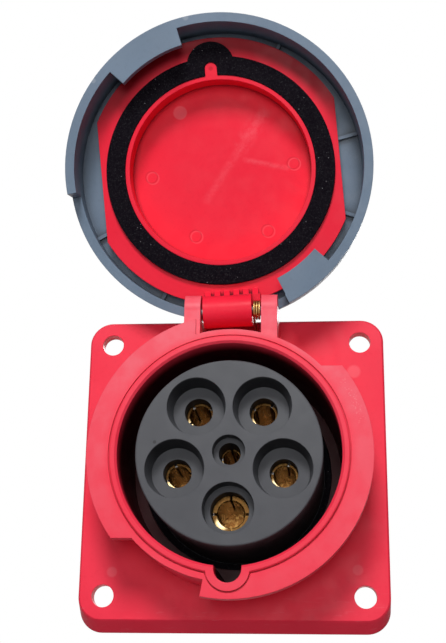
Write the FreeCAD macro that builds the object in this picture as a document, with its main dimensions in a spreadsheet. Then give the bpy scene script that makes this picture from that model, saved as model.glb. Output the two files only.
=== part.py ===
"""Wall-mounted five-pole power socket with a hinged lid and a bayonet locking ring.

Millimetres. The wall is the plane Y = 0, the front of the socket faces -Y, X runs to the right
seen from the front and Z runs up the wall. The origin lies on the socket axis in the rear face
of the mounting plate.

Each piece is drawn face on: x to the right, y up the wall, z out of the wall. Angles on the face
run clockwise from the top, as they are read on the front of the socket. The lid and its ring are
drawn shut and then swung open about the hinge pin.
"""
import FreeCAD, Part
import math
import os
import Sketcher

doc = FreeCAD.newDocument("WallSocket")
Vector = FreeCAD.Vector

SIZES = {
    # mounting plate
    "plate_margin": 5.8,
    "plate_thickness": 5.5,
    "plate_corner_radius": 9.0,
    "plate_skirt": 3.9,
    "plate_edge_bevel": 0.7,
    "mounting_inset": 9.4,
    "mounting_hole_diameter": 8.5,
    # collar that the plug goes into
    "collar_height": 28.0,
    "collar_bore_radius": 42.0,
    "collar_wall": 5.6,
    "rim_width": 2.9,
    "rim_step": 0.9,
    "rim_groove_width": 0.45,
    "rim_groove_depth": 0.7,
    "rim_chamfer": 0.9,
    "well_depth": 46.5,
    "inner_lip_width": 4.0,
    "inner_lip_thickness": 3.0,
    "rear_tube_length": 24.0,
    # keyway in the collar
    "keyway_radius": 5.1,
    "keyway_offset": 0.8,
    "keyway_wall": 3.0,
    "keyway_groove_angle": 80.0,
    # bayonet lugs on the collar
    "lug_reach": 6.0,
    "lug_thickness": 5.8,
    "lug_root_depth": 1.0,
    "right_lug_top": 32.65,
    "right_lug_end_angle": 190.8,
    "left_lug_foot": 32.0,
    "left_lug_side": 13.3,
    # screw posts behind the plate
    "post_offset": 4.3,
    "post_radius": 4.2,
    "post_hole_radius": 1.6,
    "post_hole_depth": 12.0,
    # ring seal in the rear of the plate
    "seal_offset": 4.4,
    "seal_width": 4.0,
    "seal_thickness": 2.0,
    # hinge
    "hinge_margin": 3.4,
    "hinge_rise": 20.0,
    "barrel_radius": 6.3,
    "ear_inner": 11.75,
    "ear_width": 6.25,
    "ear_root": 4.6,
    "ear_post_drop": 1.4,
    "pin_radius": 2.0,
    "pin_play": 0.06,
    "pin_chamfer": 0.4,
    "pin_tilt": 2.35,
    "lid_open_angle": 163.0,
    # contact carrier
    "plug_skirt_room": 7.0,
    "insert_edge_round": 0.6,
    "contact_circle_radius": 21.15,
    "contact_step_angle": 72.0,
    "boss_mouth_radius": 11.15,
    "boss_floor_radius": 9.8,
    "boss_depth": 10.0,
    "earth_mouth_radius": 9.6,
    "earth_mouth_depth": 8.0,
    "pilot_mouth_radius": 6.15,
    "pilot_mouth_depth": 5.5,
    "carrier_flange_thickness": 4.5,
    "carrier_flange_play": 0.3,
    "carrier_seal_thickness": 1.5,
    # contacts: sleeves in front, wire clamps behind
    "phase_bore_radius": 4.05,
    "phase_sleeve_radius": 5.15,
    "phase_setback": 16.8,
    "earth_bore_radius": 5.1,
    "earth_sleeve_radius": 7.0,
    "earth_setback": 14.8,
    "pilot_bore_radius": 3.05,
    "pilot_sleeve_radius": 3.9,
    "pilot_setback": 15.5,
    "sleeve_depth": 31.0,
    "sleeve_slot_width": 0.9,
    "sleeve_slot_length": 24.0,
    "sleeve_play": 0.25,
    "contact_flange_reach": 1.6,
    "contact_flange_thickness": 3.0,
    "clamp_radius": 6.7,
    "clamp_end": 47.0,
    "wire_bore_radius": 4.2,
    "wire_bore_depth": 18.0,
    "clamp_flat_depth": 0.7,
    "clamp_flat_margin": 0.5,
    "pilot_clamp_radius": 4.2,
    "pilot_clamp_end": 41.0,
    "pilot_wire_bore_radius": 1.8,
    "pilot_wire_bore_depth": 9.0,
    "spring_ring_width": 2.4,
    "spring_ring_thickness": 0.4,
    "spring_ring_setback": 3.0,
    "spring_ring_side_play": 0.05,
    "spring_ring_gap": 1.6,
    # terminal screws
    "clamp_screw_radius": 2.5,
    "clamp_screw_head_radius": 3.8,
    "clamp_screw_head_height": 2.6,
    "clamp_screw_pitch": 8.6,
    "clamp_screw_from_end": 4.4,
    "pilot_screw_radius": 1.5,
    "pilot_screw_from_end": 4.2,
    "pilot_screw_head_radius": 2.6,
    "pilot_screw_head_height": 1.8,
    "screw_thread_play": 0.05,
    "screw_tip_setback": 0.3,
    "screw_slot_width": 1.0,
    "screw_slot_depth": 1.0,
    # terminal carrier behind the contact carrier
    "terminal_base_end": 30.0,
    "terminal_base_reach": 2.0,
    "terminal_flange_thickness": 4.0,
    "terminal_play": 0.2,
    "barrier_inner": 8.0,
    "barrier_outer": 36.0,
    "barrier_thickness": 2.4,
    "barrier_end": 50.0,
    "carrier_screw_radius": 1.5,
    "carrier_screw_head_radius": 3.6,
    "carrier_screw_head_height": 2.4,
    "carrier_screw_length": 14.0,
    "carrier_screw_hole_play": 0.5,
    # lid, drawn shut
    "lid_stand_off": 1.8,
    "lid_overhang": 0.2,
    "lid_flange_thickness": 4.0,
    "lid_flat_margin": 2.0,
    "cup_clearance": 1.5,
    "cup_lip_width": 1.7,
    "cup_lip_rise": 1.1,
    "cup_depth": 9.7,
    "cup_floor": 2.5,
    "cup_wall": 2.6,
    "hub_round": 1.5,
    "catch_reach": 0.9,
    "catch_root_depth": 1.0,
    "catch_height": 1.6,
    "catch_width": 12.0,
    "catch_play": 0.3,
    "gasket_overlap": 1.0,
    "gasket_proud": 1.5,
    "gasket_seat_depth": 2.0,
    "gasket_play": 0.1,
    "gasket_lobe_radius": 9.5,
    "gasket_lobe_offset": 0.5,
    "tongue_radius": 2.4,
    "tongue_reach": 5.3,
    "arm_setback": 1.9,
    "arm_left": 11.0,
    "arm_web_reach": 11.4,
    "arm_right": 8.0,
    "arm_web_gap": 0.7,
    "gusset_count": 6.0,
    "gusset_width": 2.4,
    "gusset_pitch": 3.8,
    "gusset_depth": 2.6,
    "gusset_height": 2.2,
    "gusset_root_depth": 0.5,
    # locking ring, drawn shut and unlocked
    "ring_gap": 3.1,
    "ring_wall": 3.6,
    "ring_front_drop": 11.0,
    "ring_back_round": 3.0,
    "ring_cover_thickness": 3.0,
    "ring_cover_gap": 2.2,
    "ring_cover_play": 0.4,
    "ring_cut_from": -85.0,
    "ring_cut_to": 22.0,
    "ring_cut_depth": 10.5,
    "tab_thickness": 3.8,
    "tab_clearance": 2.3,
    "near_tab_from": 22.3,
    "near_tab_to": 43.7,
    "far_tab_from": 191.4,
    "far_tab_to": 223.4,
    "ring_rib_thickness": 1.4,
    "ring_rib_gap": 7.4,
    "ring_rib_play": 0.3,
    # lid spring
    "spring_wire_radius": 0.48,
    "spring_coil_radius": 3.4,
    "spring_turns": 2.5,
    "spring_end_play": 0.12,
    "spring_seat_gap": 0.3,
    "spring_lid_leg": 6.5,
}

sheet = doc.addObject("Spreadsheet::Sheet", "Sizes")
for row, (name, number) in enumerate(SIZES.items(), start=1):
    sheet.set(f"A{row}", name)
    sheet.set(f"B{row}", str(number))
    sheet.setAlias(f"B{row}", name)
doc.recompute()


class Size:
    """A number worked out from the sheet, with the formula that ties it to its cells."""

    def __init__(self, value, formula):
        self.value = value
        self.formula = formula

    def __add__(self, other):
        other = as_size(other)
        return Size(self.value + other.value, f"({self.formula} + {other.formula})")

    def __sub__(self, other):
        other = as_size(other)
        return Size(self.value - other.value, f"({self.formula} - {other.formula})")

    def __mul__(self, other):
        other = as_size(other)
        return Size(self.value * other.value, f"({self.formula} * {other.formula})")

    def __truediv__(self, other):
        other = as_size(other)
        return Size(self.value / other.value, f"({self.formula} / {other.formula})")

    def __neg__(self):
        return as_size(0) - self

    def __rsub__(self, other):
        return as_size(other) - self

    __radd__ = __add__
    __rmul__ = __mul__


def as_size(number):
    return number if isinstance(number, Size) else Size(float(number), f"({number})")


def sine(angle):
    return Size(math.sin(math.radians(angle.value)), f"sin({angle.formula})")


def cosine(angle):
    return Size(math.cos(math.radians(angle.value)), f"cos({angle.formula})")


def other_leg(hypotenuse, leg):
    """The third side of a right triangle."""
    square = hypotenuse * hypotenuse - leg * leg
    return Size(math.sqrt(square.value), f"sqrt({square.formula})")


class Cells:
    """The sheet's cells, each read by its name."""

    def __getattr__(self, name):
        return Size(float(sheet.get(name)), f"Sizes.{name}")


cell = Cells()

# Levels along the socket axis, out of the wall
plate_front = cell.plate_thickness
rim = plate_front + cell.collar_height
shoulder = rim - cell.rim_step
well_floor = rim - cell.well_depth
inner_lip_back = well_floor - cell.inner_lip_thickness
tube_end = -cell.rear_tube_length
carrier_flange_front = inner_lip_back - cell.carrier_seal_thickness
carrier_back = carrier_flange_front - cell.carrier_flange_thickness
terminal_base_back = -cell.terminal_base_end
terminal_flange_back = tube_end - cell.terminal_flange_thickness
lid_face = rim + cell.lid_stand_off
lid_flange_back = lid_face + cell.lid_flange_thickness
lid_top = lid_face + cell.cup_depth + cell.cup_floor
gasket_front = lid_face - cell.gasket_proud
gasket_back = lid_face + cell.gasket_seat_depth
ring_front = rim - cell.ring_front_drop
ring_cover_front = lid_flange_back + cell.ring_cover_gap
ring_back = ring_cover_front + cell.ring_cover_thickness

# Radii and distances that pieces share
collar_radius = cell.collar_bore_radius + cell.collar_wall
lug_radius = collar_radius + cell.lug_reach
rim_radius = cell.collar_bore_radius + cell.rim_width
inner_lip_radius = cell.collar_bore_radius - cell.inner_lip_width
keyway_centre = cell.collar_bore_radius + cell.keyway_offset
post_circle_radius = cell.collar_bore_radius + cell.post_offset
seal_groove_radius = collar_radius + cell.seal_offset
plate_half = lug_radius + cell.plate_margin
insert_radius = cell.collar_bore_radius - cell.plug_skirt_room
carrier_flange_radius = cell.collar_bore_radius - cell.carrier_flange_play
cup_radius = insert_radius + cell.cup_clearance
lip_outer_radius = cup_radius + cell.cup_lip_width
hub_radius = cup_radius + cell.cup_wall
gasket_outer_radius = rim_radius + cell.gasket_overlap
gasket_lobe_centre = cell.collar_bore_radius + cell.gasket_lobe_offset
seat_outer_radius = gasket_outer_radius + cell.gasket_play
lid_flat = seat_outer_radius + cell.lid_flat_margin
lid_flange_radius = lug_radius + cell.lid_overhang
ring_inner_radius = lid_flange_radius + cell.ring_gap
ring_radius = ring_inner_radius + cell.ring_wall

# Hinge axis
hinge_y = lid_flange_radius + cell.hinge_margin
hinge_z = plate_front + cell.hinge_rise
arm_outer = hinge_y - cell.arm_setback
pin_half_length = cell.ear_inner + cell.ear_width

# Angles on the face, clockwise from the top
POST_ANGLES = [45, 135, 225, 315]
PHASE_ANGLES = {
    "l1": cell.contact_step_angle * -0.5,
    "l2": cell.contact_step_angle * 0.5,
    "l3": cell.contact_step_angle * 1.5,
    "n": cell.contact_step_angle * 3.5,
}
EARTH_ANGLE = cell.contact_step_angle * 2.5
RING_RIB_ANGLES = [-67, -30, 30, 66, 100, 150, 210]

# How far a cutting outline runs past the material it cuts
SPARE = 1

# Names that a sketch constraint uses for the origin and for the points of a curve
ORIGIN = -1
START, END, CENTRE = 1, 2, 3


def origin_feature(body, role):
    return [f for f in body.Origin.OriginFeatures if f.Role == role][0]


def new_body(label):
    body = doc.addObject("PartDesign::Body", label)
    body.Label = label
    return body


def stand_on_wall(body, along_x=as_size(0), along_z=as_size(0), turn=as_size(0)):
    """Stand a face-on piece up on the wall, moved across the face and turned about its own axis."""
    place = f"vector({along_x.formula}; 0; {along_z.formula})"
    body.setExpression("Placement", f"placement({place}; rotation(0; {turn.formula}; 90))")


def swing_open(body):
    """Stand a piece of the lid up on the wall and open it about the hinge axis."""
    axis = f"vector({cosine(cell.pin_tilt).formula}; 0; {sine(cell.pin_tilt).formula})"
    hinge = f"vector(0; {(-hinge_z).formula}; {hinge_y.formula})"
    back = f"vector(0; {hinge_z.formula}; {(-hinge_y).formula})"
    swing = f"placement({hinge}; rotation({axis}; {(-cell.lid_open_angle).formula}))"
    body.setExpression("Placement", f"{swing} * placement({back}; rotation(0; 0; 90))")


def lay_along_pin(body, along=as_size(0)):
    """Lay a piece drawn about its own z axis along the hinge axis, this far from the middle."""
    x, z = along * cosine(cell.pin_tilt), hinge_y + along * sine(cell.pin_tilt)
    place = f"vector({x.formula}; {(-hinge_z).formula}; {z.formula})"
    body.setExpression("Placement", f"placement({place}; rotation(0; {(90 - cell.pin_tilt).formula}; 0))")


def new_sketch(body, name, plane="XY_Plane", level=None):
    sketch = body.newObject("Sketcher::SketchObject", name)
    sketch.AttachmentSupport = [(origin_feature(body, plane), "")]
    sketch.MapMode = "FlatFace"
    if level is not None:
        sketch.setExpression("AttachmentOffset.Base.z", level.formula)
    return sketch


def sketch_across_pin(body, name, level):
    """A sketch square to the hinge axis, centred on it, this far along it from the middle."""
    sketch = new_sketch(body, name, "YZ_Plane")
    up, right = hinge_y + level * sine(cell.pin_tilt), level * cosine(cell.pin_tilt)
    base = f"vector({up.formula}; {hinge_z.formula}; {right.formula})"
    sketch.setExpression("AttachmentOffset", f"placement({base}; rotation(0; {cell.pin_tilt.formula}; 0))")
    return sketch


def bind(sketch, constraint, size):
    """Add a constraint whose value follows the sheet."""
    index = sketch.addConstraint(constraint)
    name = f"size_{index}"
    sketch.renameConstraint(index, name)
    sketch.setExpression(f"Constraints.{name}", size.formula)


def bind_point(sketch, geometry, position, x, y):
    """Fix one point of a sketch at (x, y) from the origin."""
    for kind, size in (("DistanceX", x), ("DistanceY", y)):
        bind(sketch, Sketcher.Constraint(kind, ORIGIN, START, geometry, position, size.value), size)


def circle(sketch, x, y, radius):
    """Draw a circle of the given centre and radius."""
    x, y, radius = as_size(x), as_size(y), as_size(radius)
    shape = Part.Circle(Vector(x.value, y.value, 0), Vector(0, 0, 1), radius.value)
    index = sketch.addGeometry(shape, False)
    bind_point(sketch, index, CENTRE, x, y)
    bind(sketch, Sketcher.Constraint("Radius", index, radius.value), radius)


def arc_between(start, end, radius, turn):
    """The arc from start to end, less than half a circle, turning left (1) or right (-1)."""
    middle = (start + end) * 0.5
    chord = end - start
    rise = math.sqrt(max(radius ** 2 - (chord.Length / 2) ** 2, 0.0))
    side = Vector(-chord.y, chord.x, 0).normalize() * (rise * turn)
    centre = middle + side
    first = math.atan2(start.y - centre.y, start.x - centre.x)
    last = math.atan2(end.y - centre.y, end.x - centre.x)
    if turn < 0:
        first, last = last, first
    while last < first:
        last += 2 * math.pi
    return Part.ArcOfCircle(Part.Circle(centre, Vector(0, 0, 1), radius), first, last)


def outline(sketch, corners):
    """Draw a closed outline. A corner is (x, y), or (x, y, radius, turn) where an arc leaves it."""
    corners = [tuple(as_size(part) for part in corner) for corner in corners]
    points = [Vector(corner[0].value, corner[1].value, 0) for corner in corners]
    ends = []
    for index, corner in enumerate(corners):
        start, end = points[index], points[(index + 1) % len(points)]
        if len(corner) == 2:
            geometry = sketch.addGeometry(Part.LineSegment(start, end), False)
            ends.append((geometry, START, END))
        else:
            turn = 1 if corner[3].value > 0 else -1
            geometry = sketch.addGeometry(arc_between(start, end, corner[2].value, turn), False)
            ends.append((geometry, START, END) if turn > 0 else (geometry, END, START))
    for index, (geometry, first, last) in enumerate(ends):
        following, following_first, _ = ends[(index + 1) % len(ends)]
        sketch.addConstraint(Sketcher.Constraint("Coincident", geometry, last, following, following_first))
    for (geometry, first, last), corner in zip(ends, corners):
        bind_point(sketch, geometry, first, corner[0], corner[1])
        if len(corner) > 2:
            bind(sketch, Sketcher.Constraint("Radius", geometry, corner[2].value), corner[2])


def on_face(angle, radius):
    """The point at this angle, clockwise from the top, and radius from the socket axis."""
    angle, radius = as_size(angle), as_size(radius)
    return radius * sine(angle), radius * cosine(angle)


def sector(sketch, inner, outer, first, last):
    """Draw a piece of a flat ring, clockwise from the first angle to the last, under half a turn."""
    outline(sketch, [
        on_face(first, inner),
        (*on_face(first, outer), outer, -1),
        on_face(last, outer),
        (*on_face(last, inner), inner, 1),
    ])


def rounded_rectangle(sketch, left, right, foot, top, radius):
    """Draw a rectangle with four equal round corners."""
    outline(sketch, [
        (left + radius, foot),
        (right - radius, foot, radius, 1),
        (right, foot + radius),
        (right, top - radius, radius, 1),
        (right - radius, top),
        (left + radius, top, radius, 1),
        (left, top - radius),
        (left, foot + radius, radius, 1),
    ])


def volume(body):
    return 0.0 if body.Shape.isNull() else body.Shape.Volume


def check_change(body, feature, before, more):
    """Stop if a feature that should add or remove material did not."""
    doc.recompute()
    change = volume(body) - before
    if "Invalid" in feature.State or (change <= 0 if more else change >= 0):
        raise RuntimeError(f"{feature.Name} changed the volume by {change:.3f}")


def shape_feature(body, kind, name, sketch, more, **settings):
    """Add a sketch-based feature and check that it adds, or removes, material."""
    before = volume(body)
    feature = body.newObject(f"PartDesign::{kind}", name)
    feature.Profile = sketch
    for key, value in settings.items():
        if isinstance(value, Size):
            feature.setExpression(key, value.formula)
        else:
            setattr(feature, key, value)
    sketch.Visibility = False
    check_change(body, feature, before, more)
    return feature


def pad(body, name, sketch, height):
    return shape_feature(body, "Pad", name, sketch, True, Length=height)


def pocket(body, name, sketch, depth, upward=False):
    """Cut down into the piece, or upward from behind."""
    return shape_feature(body, "Pocket", name, sketch, False, Length=depth, Reversed=upward)


def turn(body, name, sketch, axis="V_Axis"):
    axis_line = (sketch, [axis])
    return shape_feature(body, "Revolution", name, sketch, True, ReferenceAxis=axis_line, Angle=360.0)


def turned_cut(body, name, sketch):
    axis_line = (sketch, ["V_Axis"])
    return shape_feature(body, "Groove", name, sketch, False, ReferenceAxis=axis_line, Angle=360.0)


def polar(body, name, feature, count):
    """Repeat a feature evenly round the body's own axis."""
    pattern = body.newObject("PartDesign::PolarPattern", name)
    pattern.Originals = [feature]
    pattern.Axis = (origin_feature(body, "Z_Axis"), [""])
    pattern.Angle = 360.0
    pattern.Occurrences = count
    body.Tip = pattern
    doc.recompute()
    return pattern


def circles_at(sketch, angles, distance, radius):
    for angle in angles:
        circle(sketch, *on_face(angle, distance), radius)


def flange_housing():
    """The red moulding: plate, collar, lugs, hinge ears and the tube behind the plate."""
    body = new_body("flange_housing")
    half = plate_half
    corner = cell.plate_corner_radius
    bevel = cell.plate_edge_bevel
    back_outline = new_sketch(body, "plate_back_outline")
    rounded_rectangle(back_outline, -half, half, -half - cell.plate_skirt, half, corner)
    edge_outline = new_sketch(body, "plate_edge_outline", level=plate_front - bevel)
    rounded_rectangle(edge_outline, -half, half, -half, half, corner)
    front_outline = new_sketch(body, "plate_front_outline", level=plate_front)
    inset = half - bevel
    rounded_rectangle(front_outline, -inset, inset, -inset, inset, corner - bevel)
    sections = [edge_outline, front_outline]
    shape_feature(body, "AdditiveLoft", "plate", back_outline, True, Sections=sections, Ruled=True)
    for section in sections:
        section.Visibility = False

    groove_floor = shoulder - cell.rim_groove_depth
    groove_radius = rim_radius + cell.rim_groove_width
    bevel = cell.rim_chamfer / 2
    profile = new_sketch(body, "collar_profile", "XZ_Plane")
    outline(profile, [
        (0, tube_end),
        (collar_radius, tube_end),
        (collar_radius, shoulder),
        (groove_radius, shoulder),
        (groove_radius, groove_floor),
        (rim_radius, groove_floor),
        (rim_radius, rim - bevel),
        (rim_radius - bevel, rim),
        (0, rim),
    ])
    turn(body, "collar", profile)

    keyway = new_sketch(body, "keyway_wall_outline", level=tube_end)
    circle(keyway, 0, -keyway_centre, cell.keyway_radius + cell.keyway_wall)
    pad(body, "keyway_wall", keyway, rim - tube_end)

    lug_root = collar_radius - cell.lug_root_depth
    lug_back = shoulder - cell.lug_thickness
    top = cell.right_lug_top
    end = cell.right_lug_end_angle
    right = new_sketch(body, "right_lug_outline", level=lug_back)
    outline(right, [
        (other_leg(lug_root, top), top),
        (other_leg(lug_radius, top), top, lug_radius, -1),
        on_face(end, lug_radius),
        (*on_face(end, lug_root), lug_root, 1),
    ])
    pad(body, "right_lug", right, cell.lug_thickness)
    low = cell.left_lug_foot
    side = cell.left_lug_side
    left = new_sketch(body, "left_lug_outline", level=lug_back)
    outline(left, [
        (-other_leg(lug_root, low), -low),
        (-other_leg(lug_radius, low), -low, lug_radius, -1),
        (-side, other_leg(lug_radius, side)),
        (-side, other_leg(lug_root, side), lug_root, 1),
    ])
    pad(body, "left_lug", left, cell.lug_thickness)

    ear_root = collar_radius - cell.ear_root
    ear_top = hinge_z + cell.barrel_radius
    post_top = hinge_y - cell.ear_post_drop
    for name, start in (("left", -pin_half_length), ("right", cell.ear_inner)):
        post = new_sketch(body, f"{name}_ear_post_outline", "YZ_Plane", start)
        outline(post, [
            (ear_root, plate_front / 2),
            (post_top, plate_front / 2),
            (post_top, ear_top),
            (ear_root, ear_top),
        ])
        pad(body, f"{name}_ear_post", post, cell.ear_width)
        eye = new_sketch(body, f"{name}_ear_eye_outline", "YZ_Plane", start)
        circle(eye, hinge_y, hinge_z, cell.barrel_radius)
        pad(body, f"{name}_ear_eye", eye, cell.ear_width)

    posts = new_sketch(body, "screw_post_outlines", level=tube_end)
    circles_at(posts, POST_ANGLES, post_circle_radius, cell.post_radius)
    pad(body, "screw_posts", posts, cell.rear_tube_length + plate_front / 2)

    well = new_sketch(body, "well_profile", "XZ_Plane")
    outline(well, [
        (0, tube_end - SPARE),
        (cell.collar_bore_radius, tube_end - SPARE),
        (cell.collar_bore_radius, inner_lip_back),
        (inner_lip_radius, inner_lip_back),
        (inner_lip_radius, well_floor),
        (cell.collar_bore_radius, well_floor),
        (cell.collar_bore_radius, rim - cell.rim_chamfer),
        (cell.collar_bore_radius + cell.rim_chamfer, rim),
        (cell.collar_bore_radius + cell.rim_chamfer, rim + SPARE),
        (0, rim + SPARE),
    ])
    turned_cut(body, "well", well)

    slot = new_sketch(body, "keyway_slot_outline", level=rim + SPARE)
    inside = cell.collar_bore_radius - cell.keyway_radius
    outline(slot, [
        (-cell.keyway_radius, -keyway_centre),
        (cell.keyway_radius, -keyway_centre),
        (cell.keyway_radius, -inside),
        (-cell.keyway_radius, -inside),
    ])
    pocket(body, "keyway_slot", slot, cell.well_depth + SPARE)
    slot_end = new_sketch(body, "keyway_end_outline", level=rim + SPARE)
    circle(slot_end, 0, -keyway_centre, cell.keyway_radius)
    pocket(body, "keyway_end", slot_end, cell.well_depth + SPARE)
    lip_groove = new_sketch(body, "keyway_groove_outline", level=shoulder)
    inner = cell.keyway_radius + cell.keyway_wall
    outer = inner + cell.rim_groove_width
    side_x, side_y = sine(cell.keyway_groove_angle), -cosine(cell.keyway_groove_angle)
    outline(lip_groove, [
        (-side_x * inner, side_y * inner - keyway_centre, inner, 1),
        (side_x * inner, side_y * inner - keyway_centre),
        (side_x * outer, side_y * outer - keyway_centre, outer, -1),
        (-side_x * outer, side_y * outer - keyway_centre),
    ])
    pocket(body, "keyway_groove", lip_groove, cell.rim_groove_depth)

    eye_hole = sketch_across_pin(body, "pin_hole_outline", pin_half_length + SPARE)
    circle(eye_hole, 0, 0, cell.pin_radius + cell.pin_play)
    pocket(body, "pin_hole", eye_hole, (pin_half_length + SPARE) * 2)

    reach = plate_half - cell.mounting_inset
    holes = new_sketch(body, "mounting_hole_outlines", level=plate_front + SPARE)
    for x in (-reach, reach):
        for y in (-reach, reach):
            circle(holes, x, y, cell.mounting_hole_diameter / 2)
    pocket(body, "mounting_holes", holes, plate_front + SPARE * 2)

    bores = new_sketch(body, "post_bore_outlines", level=tube_end)
    circles_at(bores, POST_ANGLES, post_circle_radius, cell.post_hole_radius)
    pocket(body, "post_bores", bores, cell.post_hole_depth, upward=True)

    groove = new_sketch(body, "seal_groove_outline")
    circle(groove, 0, 0, seal_groove_radius)
    circle(groove, 0, 0, seal_groove_radius + cell.seal_width)
    pocket(body, "seal_groove", groove, cell.seal_thickness, upward=True)
    stand_on_wall(body)


def ring_body(label, level, inner, outer, height):
    """A plain flat ring about the body's own axis."""
    body = new_body(label)
    sketch = new_sketch(body, f"{label}_outline", level=level)
    circle(sketch, 0, 0, inner)
    circle(sketch, 0, 0, outer)
    pad(body, f"{label}_ring", sketch, height)
    return body


def flange_gasket():
    """The ring seal in the groove behind the plate."""
    inner = seal_groove_radius + cell.gasket_play
    outer = seal_groove_radius + cell.seal_width - cell.gasket_play
    stand_on_wall(ring_body("flange_gasket", as_size(0), inner, outer, cell.seal_thickness))


def carrier_seal():
    """The flat seal between the inner lip of the housing and the flange of the contact carrier."""
    inner = insert_radius + cell.carrier_flange_play
    height = cell.carrier_seal_thickness
    stand_on_wall(ring_body("carrier_seal", carrier_flange_front, inner, carrier_flange_radius, height))


def contact_kinds():
    """Each contact's name with its angle, its distance from the axis and its sleeve radius."""
    around = cell.contact_circle_radius
    kinds = [(name, angle, around, cell.phase_sleeve_radius) for name, angle in PHASE_ANGLES.items()]
    kinds.append(("earth", EARTH_ANGLE, around, cell.earth_sleeve_radius))
    kinds.append(("pilot", as_size(0), as_size(0), cell.pilot_sleeve_radius))
    return kinds


def contact_flange_radius(name):
    """Radius of the collar that the two insulators hold a contact by."""
    widest = cell.pilot_clamp_radius if name == "pilot" else cell.clamp_radius
    return widest + cell.contact_flange_reach


def contact_carrier():
    """The dark front insulator, with a counterbore and a channel for each contact."""
    body = new_body("contact_carrier")
    profile = new_sketch(body, "carrier_profile", "XZ_Plane")
    bevel = cell.insert_edge_round
    outline(profile, [
        (0, carrier_back),
        (carrier_flange_radius, carrier_back),
        (carrier_flange_radius, carrier_flange_front),
        (insert_radius, carrier_flange_front),
        (insert_radius, rim - bevel, bevel, 1),
        (insert_radius - bevel, rim),
        (0, rim),
    ])
    turn(body, "carrier", profile)

    phases = list(PHASE_ANGLES.values())
    around = cell.contact_circle_radius
    for index, angle in enumerate(phases, start=1):
        mouth = new_sketch(body, f"boss_mouth_{index}", level=rim)
        circle(mouth, *on_face(angle, around), cell.boss_mouth_radius)
        floor = new_sketch(body, f"boss_floor_{index}", level=rim - cell.boss_depth)
        circle(floor, *on_face(angle, around), cell.boss_floor_radius)
        name = f"boss_recess_{index}"
        shape_feature(body, "SubtractiveLoft", name, mouth, False, Sections=[floor], Ruled=True)
        floor.Visibility = False

    earth = new_sketch(body, "earth_mouth_outline", level=rim)
    circles_at(earth, [EARTH_ANGLE], around, cell.earth_mouth_radius)
    pocket(body, "earth_mouth", earth, cell.earth_mouth_depth)
    pilot = new_sketch(body, "pilot_mouth_outline", level=rim)
    circle(pilot, 0, 0, cell.pilot_mouth_radius)
    pocket(body, "pilot_mouth", pilot, cell.pilot_mouth_depth)

    channels = new_sketch(body, "channel_outlines", level=rim)
    for _, angle, distance, sleeve_radius in contact_kinds():
        circle(channels, *on_face(angle, distance), sleeve_radius + cell.sleeve_play)
    pocket(body, "channels", channels, rim - carrier_back)
    stand_on_wall(body)


def contact(name, sleeve_radius, bore_radius, setback, clamp, angle, distance):
    """A split brass sleeve with its wire clamp behind, turned so that the clamp screws face outward."""
    clamp_radius, clamp_back, wire_radius, wire_depth, screw_radius, screw_levels = clamp
    body = new_body(f"contact_{name}")
    front = rim - setback
    flange_radius = contact_flange_radius(name)
    flange_back = carrier_back - cell.contact_flange_thickness
    groove_radius = sleeve_radius - cell.spring_ring_thickness
    groove_front = front - cell.spring_ring_setback
    groove_back = groove_front - cell.spring_ring_width - cell.spring_ring_side_play * 2
    bevel = cell.sleeve_play
    profile = new_sketch(body, f"{name}_profile", "XZ_Plane")
    outline(profile, [
        (0, clamp_back + wire_depth),
        (wire_radius, clamp_back + wire_depth),
        (wire_radius, clamp_back),
        (clamp_radius, clamp_back),
        (clamp_radius, flange_back),
        (flange_radius, flange_back),
        (flange_radius, carrier_back),
        (sleeve_radius, carrier_back),
        (sleeve_radius, groove_back),
        (groove_radius, groove_back),
        (groove_radius, groove_front),
        (sleeve_radius, groove_front),
        (sleeve_radius, front),
        (bore_radius + bevel, front),
        (bore_radius, front - bevel),
        (bore_radius, front - cell.sleeve_depth),
        (0, front - cell.sleeve_depth),
    ])
    turn(body, f"{name}_turning", profile)
    for plane in ("XZ_Plane", "YZ_Plane"):
        slot = new_sketch(body, f"{name}_slot_{plane[:2].lower()}", plane)
        half = cell.sleeve_slot_width / 2
        outline(slot, [
            (-half, front - cell.sleeve_slot_length),
            (half, front - cell.sleeve_slot_length),
            (half, front + SPARE),
            (-half, front + SPARE),
        ])
        width = (sleeve_radius + SPARE) * 2
        cut = f"{name}_saw_cut_{plane[:2].lower()}"
        shape_feature(body, "Pocket", cut, slot, False, Length=width, Midplane=True)
    flat_half = cell.clamp_screw_head_radius + cell.clamp_flat_margin
    outer = clamp_radius + SPARE
    flat = new_sketch(body, f"{name}_flat_outline", "YZ_Plane", outer)
    outline(flat, [
        (-flat_half, clamp_back - SPARE),
        (flat_half, clamp_back - SPARE),
        (flat_half, clamp_back + wire_depth),
        (-flat_half, clamp_back + wire_depth),
    ])
    pocket(body, f"{name}_flat", flat, cell.clamp_flat_depth + SPARE)
    taps = new_sketch(body, f"{name}_tap_outlines", "YZ_Plane", outer)
    for level in screw_levels:
        circle(taps, 0, level, screw_radius + cell.screw_thread_play)
    pocket(body, f"{name}_taps", taps, outer)
    x, z = on_face(angle, distance)
    stand_on_wall(body, x, z, as_size(angle) - 90)


def spring_ring(name, sleeve_radius, setback, angle, distance):
    """The open steel ring that keeps the split end of a sleeve closed on the pin."""
    inner = sleeve_radius - cell.spring_ring_thickness + cell.spring_ring_side_play
    outer = inner + cell.spring_ring_thickness
    width = cell.spring_ring_width
    level = rim - setback - cell.spring_ring_setback - cell.spring_ring_side_play - width
    body = ring_body(f"spring_ring_{name}", level, inner, outer, width)
    gap = new_sketch(body, f"spring_ring_{name}_gap_outline", level=level + width)
    half = cell.spring_ring_gap / 2
    outline(gap, [(-half, 0), (half, 0), (half, outer + SPARE), (-half, outer + SPARE)])
    pocket(body, f"spring_ring_{name}_gap", gap, width)
    x, z = on_face(angle, distance)
    stand_on_wall(body, x, z)


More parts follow.
